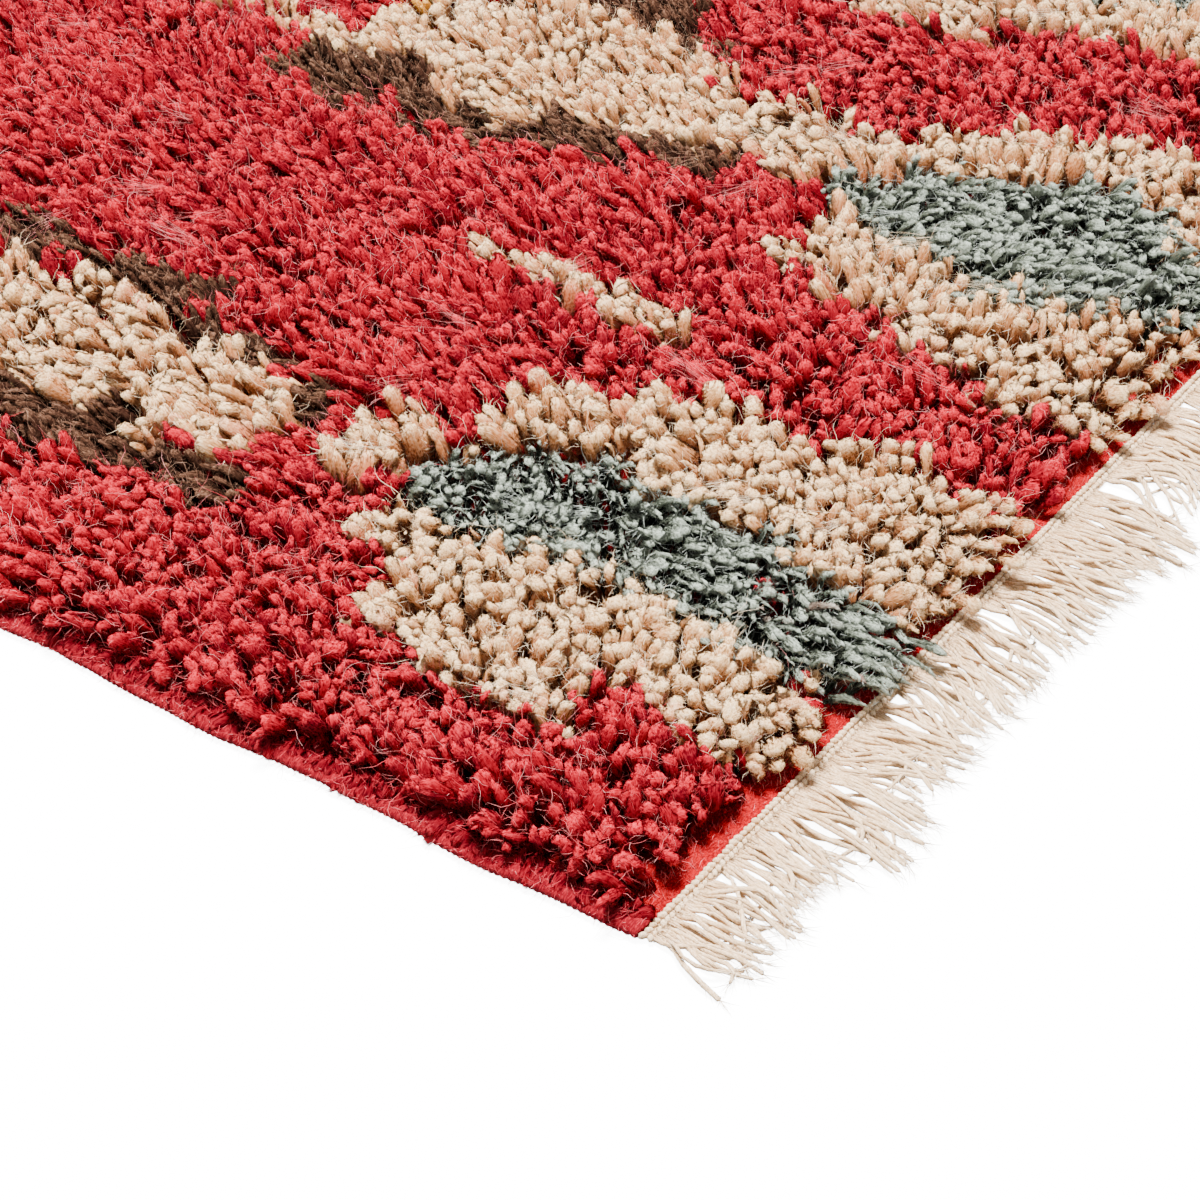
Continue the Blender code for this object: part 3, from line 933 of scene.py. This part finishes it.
def bandMaterial():
    # packed wool weft: grainy, each weft a row of small soft knuckles
    made, tree = newMaterial("packed wool weft, red")
    place = addNode(tree, "TexCoord", {}).outputs["Object"]
    size = per(cloth["knuckle"])
    grain = addNode(tree, "Mapping", {"Vector": place, "Scale": (size, size * 1.5, size)}).outputs[0]
    given = {"Vector": grain, "Scale": 1.0, "Randomness": 0.8}
    knuckles = addNode(tree, "TexVoronoi", given).outputs["Distance"]
    fleece = noise(tree, place, per(0.6), 3.0)
    colour = mixed(tree, noise(tree, place, per(9), 2.0), bandColours["deep"], bandColours["body"])
    colour = mixed(tree, remapped(tree, fleece, 0.52, 0.72, 0.0, 0.9), colour, bandColours["tip"])
    # painted shade: darker between the knuckles, where the weft dips
    colour = mixed(tree, 1.0, colour, remapped(tree, knuckles, 0.25, 0.75, 1.0, 0.45), "MULTIPLY")
    # no light gets to it under the pile
    fromMiddle = computed(tree, "ABSOLUTE", addNode(tree, "SeparateXYZ", {"Vector": place}).outputs["Y"])
    bare = remapped(tree, fromMiddle, halfCloth - cloth["darkIn"], halfCloth - cloth["darkOut"], 0.16, 1.0)
    colour = mixed(tree, 1.0, colour, bare, "MULTIPLY")
    height = computed(tree, "SUBTRACT", fleece, knuckles)
    shadeWith(tree, {
        "Roughness": 0.95, "Specular IOR Level": 0.01, "Sheen Weight": 0.1, "Base Color": colour,
        "Sheen Tint": bandColours["haze"], "Normal": bumped(tree, height, cloth["relief"]),
    })
    return made


def groundCloth():
    rows = 2 * cloth["bandRows"] + cloth["middleRows"]
    bandY = np.linspace(0, cloth["band"], cloth["bandRows"] + 1) - halfCloth
    middleY = np.linspace(bandY[-1], -bandY[-1], cloth["middleRows"] + 1)[1:-1]
    gridY = np.concatenate([bandY, middleY, -bandY[::-1]])
    shape = bmesh.new()
    bmesh.ops.create_grid(shape, x_segments=cloth["columns"], y_segments=rows, size=1)
    place = np.array([corner.co[:] for corner in shape.verts])
    y = gridY[np.clip(np.round((place[:, 1] + 1) / 2 * rows).astype(int), 0, rows)]
    x = place[:, 0] * sideEdge(y)
    wave = 0.35 * cloth["ribPitch"] * drift(x, y, 0.03, 51)
    rib = np.abs(np.sin(math.pi * (y + wave) / cloth["ribPitch"])) - 0.6
    rib = rib * ease(np.abs(y), halfCloth - cloth["band"], halfCloth - cloth["band"] + 0.003)
    z = clothTop - cloth["ribHeight"] + cloth["ribHeight"] * rib
    for corner, spot in zip(shape.verts, points(x, y, z)):
        corner.co = spot
    rimEdges = [edge for edge in shape.edges if edge.is_boundary]
    drawn = bmesh.ops.extrude_edge_only(shape, edges=rimEdges)["geom"]
    for corner in drawn:
        if isinstance(corner, bmesh.types.BMVert):
            corner.co.z = cloth["underside"]
    return closedPiece("ground_cloth_woven", shape)


woven = groundCloth()
total += finishPiece(woven, bandMaterial(), "ground_cloth")

# Side cords: thick warps overcast with red wool, thread beside thread
cord = {
    "sides": 10,
    "oval": 1.8,  # it flattens outwards
    "wrapPitch": 0.0034,
    "wrapDepth": 0.0007,
    "closeStep": 0.0011,  # along the length that the camera sees
    "wideStep": 0.006,
    "closeTo": 0.36,  # y up to where the near cord shows
    "thread": 0.7,  # mm
    "relief": 0.5,  # mm
}
cordColours = {
    "deep": linear("#500510"),
    "body": linear("#720B17"),
    "tip": linear("#9C202A"),
    "haze": linear("#C8484C"),
}


def cordMaterial():
    # overcast wool thread: finer and flatter than the pile, wound round the edge
    made, tree = newMaterial("overcast wool thread, deep red")
    place = addNode(tree, "TexCoord", {}).outputs["Object"]
    turns = per(cord["thread"])
    wound = addNode(tree, "Mapping", {
        "Vector": place, "Scale": (turns * 0.3, turns, turns * 0.3), "Rotation": (0.3, 0, 0.35),
    }).outputs[0]
    threads = noise(tree, wound, 1.0, 3.0)
    colour = mixed(tree, noise(tree, place, per(12), 2.0), cordColours["deep"], cordColours["body"])
    colour = mixed(tree, remapped(tree, threads, 0.45, 0.70, 0.0, 0.85), colour, cordColours["tip"])
    shadeWith(tree, {
        "Roughness": 0.9, "Specular IOR Level": 0.02, "Sheen Weight": 0.1, "Sheen Tint": cordColours["haze"],
        "Base Color": colour, "Normal": bumped(tree, threads, cord["relief"]),
    })
    return made


def sideCord(name, side):
    # a grid rolled up along the cloth's wavy edge, its radius rising and falling with each wrap
    close = cord["closeTo"] if side < 0 else -halfCloth
    closeCount = max(1, int((close + halfCloth) / cord["closeStep"]))
    closeY = np.linspace(-halfCloth, close, closeCount, endpoint=False)
    wideY = np.linspace(close, halfCloth, int((halfCloth - close) / cord["wideStep"]) + 1)
    stationY = np.concatenate([closeY, wideY])
    stations = len(stationY) - 1
    shape = bmesh.new()
    bmesh.ops.create_grid(shape, x_segments=stations, y_segments=cord["sides"], size=1)
    place = np.array([corner.co[:] for corner in shape.verts])
    y = stationY[np.clip(np.round((place[:, 0] + 1) / 2 * stations).astype(int), 0, stations)]
    angle = place[:, 1] * math.pi
    radius = rug["cordDiameter"] / 2
    wander = 0.0006 * drift(y, y * 0, 0.007, 61)
    wrap = (y + 0.5 * cord["wrapPitch"] * angle / math.pi + wander) / cord["wrapPitch"]
    wrap = np.abs(np.sin(math.pi * wrap))
    deep = np.where(y < close, cord["wrapDepth"], 0.4 * cord["wrapDepth"])
    thick = radius - deep * (1 - wrap) + 0.0004 * drift(y, y * 0, 0.016, 62)
    thick = np.minimum(thick, radius + 0.0004)
    middle = side * (sideEdge(y) + rug["seatGap"] + cord["oval"] * radius)
    across = middle + cord["oval"] * thick * np.cos(angle)
    up = np.maximum(radius + thick * np.sin(angle), 0.0002)
    for corner, spot in zip(shape.verts, points(across, y, up)):
        corner.co = spot
    bmesh.ops.remove_doubles(shape, verts=shape.verts, dist=0.00002)
    return closedPiece(name, shape)


overcast = cordMaterial()
wrappedLeft = sideCord("side_cord_left_wrapped", -1)
wrappedRight = sideCord("side_cord_right_wrapped", 1)
total += finishPiece(wrappedLeft, overcast, "side_cord_left")
total += finishPiece(wrappedRight, overcast, "side_cord_right")

# Loose red fibres over the bare band and the side cord that the camera sees
nap = {
    "stations": 3, "scatter": 0.35, "length": (0.0016, 0.0052), "follow": 0.5, "stand": 1.0, "bend": 0.5,
    "wave": 0.10, "turns": 0.8, "width": 0.00026,
}
napCount = {"band": 3000, "side": 2600}
napFrom, napTo = -0.592, 0.10  # x along the band
bandX = fibreChance.uniform(napFrom, napTo, napCount["band"])
bandY = -halfCloth + fibreChance.uniform(0, cloth["band"], napCount["band"])
sideY = fibreChance.uniform(-halfCloth, cord["closeTo"], napCount["side"])
sideTurn = fibreChance.uniform(0.1, 1.1, napCount["side"]) * math.pi
cordMiddle = rug["cordDiameter"] / 2
sideX = -(sideEdge(sideY) + rug["seatGap"]) - cord["oval"] * cordMiddle * (1 - np.cos(sideTurn))
onSide = points(sideX, sideY, cordMiddle + cordMiddle * np.sin(sideTurn))
napBase = np.concatenate([points(bandX, bandY, clothTop), onSide])
napOut = np.concatenate([points(0 * bandX, 0.0, 1.0), points(np.cos(sideTurn), 0, np.sin(sideTurn))])
napAlong = points(*heading(fibreChance.uniform(0, 2 * math.pi, len(napBase))), 0)
napMade = looseFibres(napBase, napAlong, napOut, nap, fibreChance, lambda n: fibreChance.uniform(0, 0.7, n))
total += finishPiece(joinedMesh("fuzz_edges", *napMade), fibreMaterials["red"], "side_cord_left")

# Twined edge: two rows of slanted twists of ecru yarn that lock the wefts at each end
twine = {
    "closePitch": 0.0036,
    "widePitch": 0.0040,
    "closeTo": 0.06,  # x up to where the near edge shows
    "rows": (0.0016, 0.0049),  # out from the cloth's end
    "long": 0.0026,  # half sizes of one twist
    "wide": 0.0017,
    "high": 0.0019,
    "slant": 0.62,
    "middle": 0.0025,
    "endX": 0.5985,  # of the last twist
    "coreX": 0.5980,
    "coreOut": (0.0032, 0.0038),  # its middle and half its width, out from the cloth
    "underside": 0.0003,  # above the floor
}
warpPattern = {
    "wisp": 0.50, "wispLength": 4.5, "curl": 0.8, "fleece": 1.0, "fleeceShare": 0.4, "relief": 0.50,
    "ragged": 1.4, "solid": 0.36, "air": 0.80,
}
warpMaterial = woolMaterial("spun wool warp, ecru", wool["ecru"], warpPattern, wool["beige"]["body"])


def twinedEdge(name, end, chance):
    parts = []
    endX = twine["endX"]
    middleX = twine["closeTo"]
    stretches = [(-endX, middleX, twine["closePitch"]), (middleX, endX, twine["widePitch"])]
    if end > 0:
        stretches = [(-endX, endX, twine["widePitch"])]
    for rowNumber, rowOut in enumerate(twine["rows"]):
        for first, last, pitch in stretches:
            fine = pitch == twine["closePitch"]
            shape = bmesh.new()
            segments, rings = (6, 4) if fine else (4, 3)
            bmesh.ops.create_uvsphere(shape, u_segments=segments, v_segments=rings, radius=1)
            longer = pitch / twine["closePitch"]
            halfSizes = (twine["long"] * longer, twine["wide"], twine["high"])
            bmesh.ops.scale(shape, vec=halfSizes, verts=shape.verts)
            turn = twine["slant"] * (1 if rowNumber else -1)
            bmesh.ops.rotate(shape, matrix=Matrix.Rotation(turn, 3, "Z"), verts=shape.verts)
            bead, beadLoops, beadStarts = shapeArrays(shape)
            x = np.arange(first, last, pitch)
            x = x + chance.uniform(-0.15, 0.15, len(x)) * pitch
            wander = 0.0003 * drift(x, x * 0, 0.012, 71)
            y = end * (halfCloth + rowOut + wander + chance.normal(0, 0.00012, len(x)))
            z = twine["middle"] + chance.normal(0, 0.00018, len(x)) + 0.0003 * (1 - rowNumber)
            size = chance.uniform(0.85, 1.15, len(x))[:, None, None]
            corners = bead[None] * size + points(x, y, z)[:, None, :]
            corners[..., 2] = np.maximum(corners[..., 2], twine["underside"])
            count = len(x)
            tones = np.clip(chance.normal(1.0, 0.3, count), 0, 1)
            fields = {
                "strand": (bead[None] * size + np.arange(count)[:, None, None] * 0.01).reshape(-1, 3),
                # along rises from each twist's underside to its top, so the wool's painted highlight pales
                # its top and a trace of its painted shade darkens its underside
                "along": np.tile(0.88 + 0.12 * ease(bead[:, 2], -twine["high"], twine["high"]), count),
                "tone": tones.repeat(len(bead)),
                "stain": np.clip(chance.normal(-0.1, 0.25, count), 0, 0.5).repeat(len(bead)),
            }
            loops, starts = repeated(beadLoops, beadStarts, len(bead), count)
            parts.append((corners.reshape(-1, 3), loops, starts, fields))
    # the warps lie side by side under the twists
    core = bmesh.new()
    bmesh.ops.create_grid(core, x_segments=60, y_segments=1, size=1)
    out, half = twine["coreOut"]
    for corner in core.verts:
        y = end * (halfCloth + out + corner.co.y * half)
        corner.co = (corner.co.x * twine["coreX"], y, twine["underside"])
    lower = list(core.faces)
    raised = bmesh.ops.extrude_face_region(core, geom=lower)["geom"]
    for corner in raised:
        if isinstance(corner, bmesh.types.BMVert):
            corner.co.z = twine["middle"] - twine["underside"]
    bmesh.ops.recalc_face_normals(core, faces=core.faces)
    slab, loops, starts = shapeArrays(core)
    # along puts the core partway between the wool's painted shade and its painted highlight
    plain = {"along": 0.80, "tone": 0.5, "stain": 0.0}
    fields = {key: np.full(len(slab), value) for key, value in plain.items()}
    parts.append((slab, loops, starts, {"strand": slab, **fields}))
    return joinedMesh(name, *bundle(parts))


# Fringe: the warps run on past the twined edge as loose strands, in bunches
fringe = {
    "bunch": (0.018, 0.034),  # width of a bunch at its roots
    "gap": (0.000, 0.005),  # bare floor between bunches, at the roots
    "pitch": 0.0013,
    "thickness": 0.0027,
    "length": (0.050, 0.066),
    "lean": (-0.016, 0.002),  # how far to the side the ends of a bunch lie
    "spread": (0.004, 0.012),  # how far the bunch fans out
    "widePitch": 0.0042,  # where the camera doesn't look
    "wideThickness": 0.0032,
    "closeTo": 0.06,
    "stray": 0.11,  # share of strands that cross the others
    "frayFibres": 16,  # on each strand
    "startX": -0.5975,  # of the first bunch
    "rootOut": 0.0046,  # out from the cloth's end
}
fray = {
    "stations": 3, "scatter": 0.25, "length": (0.004, 0.013), "follow": 1.0, "stand": 0.32, "bend": 0.35,
    "wave": 0.10, "turns": 0.6, "width": 0.00036,
}
# The bunches at the near corner, in mm: from, to, length, lean and spread
bunchesInView = [
    (0, 14, 56, -6, 4), (14, 31, 47, 0, 10), (31, 46, 52, 3, 8),
    (53, 72, 45, -9, 8), (72, 90, 46, -8, 8), (90, 103, 58, -6, 6),
    (103, 121, 70, -5, 12), (121, 140, 67, -5, 9), (140, 158, 53, -3, 8),
    (158, 178, 59, 5, 9), (178, 198, 56, -4, 8), (207, 230, 51, -14, 10),
    (230, 247, 61, -11, 8), (247, 284, 56, -21, 10), (290, 312, 61, -4, 11),
    (312, 345, 60, -1, 13), (345, 372, 63, -1, 10), (372, 402, 72, -5, 9),
    (402, 416, 60, -3, 8), (428, 434, 40, -14, 4), (434, 462, 60, -5, 10),
    (462, 488, 62, -7, 10), (488, 515, 58, -5, 12), (523, 560, 61, -8, 12),
]
strandRows = {
    "fine": ((0, 0.85), (0.14, 1.0), (0.28, 1.0), (0.42, 0.95), (0.56, 1.0), (0.70, 1.0), (0.84, 0.95),
             (0.97, 0.80), (1, 0)),
    "coarse": ((0, 0.85), (0.20, 1.0), (0.42, 1.0), (0.64, 1.0), (0.86, 1.0), (1, 0)),
}


def bunchesOf(end, chance):
    # from, to, length, lean and spread of each bunch along one end
    found = []
    x = 0.0
    if end < 0:
        found = [tuple(value * millimetre for value in row) for row in bunchesInView]
        x = found[-1][1]
    while x < 1.180:
        gap = chance.uniform(*fringe["gap"])
        last = min(x + chance.uniform(*fringe["bunch"]), 1.195)
        found.append((x + gap, last, chance.uniform(*fringe["length"]), chance.uniform(*fringe["lean"]),
                      chance.uniform(*fringe["spread"])))
        x = last
    return found


def layFringe(end, chance):
    # where each strand starts, how it lies and where it ends
    rows = {key: [] for key in ("root", "reach", "shift", "wave", "phase", "layer", "hook", "close")}
    for first, last, length, lean, spread in bunchesOf(end, chance):
        close = end < 0 and first + fringe["startX"] < fringe["closeTo"]
        count = max(3, int((last - first) / (fringe["pitch"] if close else fringe["widePitch"])))
        place = (np.arange(count) + 0.5) / count
        stray = chance.uniform(0, 1, count) < fringe["stray"]
        rows["root"].append(first + fringe["startX"] + place * (last - first))
        shift = lean + (place - 0.5) * spread + chance.normal(0, 0.0018, count)
        rows["shift"].append(shift + stray * chance.normal(0, 0.015, count))
        shorter = 1 - 0.20 * chance.uniform(0, 1, count) ** 2 - 0.10 * np.abs(2 * place - 1) ** 3
        rows["reach"].append(length * shorter)
        rows["wave"].append(np.full(count, chance.normal(0, 0.0040)) + chance.normal(0, 0.0020, count))
        rows["phase"].append(np.full(count, chance.uniform(-0.9, 0.9)) + chance.normal(0, 0.7, count))
        rows["layer"].append(chance.uniform(0.0010, 0.0062, count) + stray * 0.0014)
        rows["hook"].append(np.where(chance.uniform(0, 1, count) < 0.35, chance.normal(0, 0.9, count), 0))
        rows["close"].append(np.full(count, float(close)))
    laid = {key: np.concatenate(value) for key, value in rows.items()}
    laid["end"] = end
    return laid


def strandPoint(laid):
    # the middle line of each strand, from the twined edge outwards
    def place(which, share):
        t = np.clip(np.broadcast_to(share, (len(which), share.shape[-1])), 0, 1)
        get = {key: laid[key][which][:, None] for key in laid if key != "end"}
        swing = get["wave"] * (np.sin(get["phase"] + 4.4 * t) - np.sin(get["phase"])) * ease(t, 0, 0.5)
        x = get["root"] + get["shift"] * t ** 1.25 + swing + 0.22 * get["hook"] * get["reach"] * t ** 5
        y = get["reach"] * (t - 0.22 * np.abs(get["hook"]) * t ** 5)
        y = laid["end"] * (halfCloth + fringe["rootOut"] + y)
        settled = (get["layer"] - 0.0012) * 0.6 * ease(t, 0.6, 1.0)
        z = 0.0018 + (get["layer"] - 0.0018) * ease(t, 0, 0.35) - settled
        z = z + 0.0005 * np.sin(get["phase"] * 3 + 9 * t) * ease(t, 0, 0.2)
        return points(x, y, z)

    def point(which, share):
        before = place(which, share - 0.01)
        after = place(which, share + 0.01)
        return place(which, share), unit(after - before)

    return point


def fringeStrands(name, end, chance):
    laid = layFringe(end, chance)
    count = len(laid["root"])
    close = laid["close"] > 0.5
    thickness = np.where(close, fringe["thickness"], fringe["wideThickness"])
    made = {
        "radius": thickness * chance.uniform(0.4, 0.58, count),
        "roll": chance.uniform(0, 6.28, count),
        "twist": chance.uniform(4, 9, count),
        "length": laid["reach"],
        "tone": np.clip(chance.normal(0.55, 0.3, count), 0, 1),
        "stain": np.zeros(count),
        "reference": np.tile([1.0, 0.0, 0.0], (count, 1)),
    }
    parts = []
    for variant in range(variants):
        for fine in (True, False):
            sides = 5 if fine else 4
            shape = lockShape(sides, strandRows["fine" if fine else "coarse"], 0.08, 0.05, chance)
            chosen = np.flatnonzero(close == fine)[variant::variants]
            if len(chosen):
                parts.append(bentCopies(chosen, shape, strandPoint(laid), made))
    corners, loops, starts, fields = bundle(parts)
    # the strands take the wool's painted highlight more towards their ends, and a trace of its painted shade
    # near the twined edge
    fields["along"] = 0.84 + 0.12 * fields["along"]
    corners[:, 2] = np.maximum(corners[:, 2], 0.0002)
    pieces = [joinedMesh(name, corners, loops, starts, fields)]
    # the cut ends fray
    frayed = np.repeat(np.flatnonzero(close), fringe["frayFibres"])
    if len(frayed):
        share = 1 - 0.35 * chance.uniform(0, 1, len(frayed)) ** 2
        base, direction = strandPoint(laid)(frayed, share[:, None])
        out = unit(chance.normal(0, 1, (len(frayed), 3)) * np.array([1, 1, 0.4]))
        base = base[:, 0]
        direction = direction[:, 0]
        fibres = looseFibres(base, direction, out, fray, chance, lambda n: chance.uniform(0.2, 1, n))
        pieces.append(joinedMesh(name + "_frayed", *fibres))
    return pieces


fringeChance = np.random.default_rng(91)
for endName, end in (("front", -1), ("back", 1)):
    twined = twinedEdge("twined_edge_" + endName, end, fringeChance)
    total += finishPiece(twined, warpMaterial, "fringe_" + endName)
    laidStrands = fringeStrands("fringe_strands_" + endName, end, fringeChance)
    for strandPiece, material in zip(laidStrands, (warpMaterial, fibreMaterials["ecru"])):
        total += finishPiece(strandPiece, material, "fringe_" + endName)

print("edges and fringe made,", total, "triangles in all")

# Floor and light
floorMaterial, floorTree = newMaterial("matt white backdrop paper")
shadeWith(floorTree, {
    "Base Color": linear("#F6F6F6"), "Roughness": 0.95,
    "Emission Color": (1, 1, 1, 1), "Emission Strength": 11.0,
})
shape = bmesh.new()
bmesh.ops.create_grid(shape, x_segments=1, y_segments=1, size=60)
mesh = bpy.data.meshes.new("floor")
shape.to_mesh(mesh)
shape.free()
floor = meshPiece("floor", mesh)
floor.location.z = -0.0002
mesh.materials.append(floorMaterial)
floor.visible_diffuse = False  # lit paper, which would otherwise throw its light up under the rug

world = bpy.data.worlds.new("studio")
world.use_nodes = True
background = world.node_tree.nodes["Background"]
background.inputs["Color"].default_value = (1, 1, 1, 1)
background.inputs["Strength"].default_value = 0.85
bpy.context.scene.world = world


def areaLight(name, place, aim, size, watts):
    light = bpy.data.lights.new(name, "AREA")
    light.shape = "DISK"
    light.size = size
    light.energy = watts
    lamp = bpy.data.objects.new(name, light)
    lamp.location = place
    lamp.rotation_euler = (Vector(aim) - Vector(place)).to_track_quat("-Z", "Y").to_euler()
    bpy.context.scene.collection.objects.link(lamp)


areaLight("softbox over the rug", (-0.28, -0.40, 2.4), (-0.30, -0.45, 0), 1.0, 380)
print("stage set")
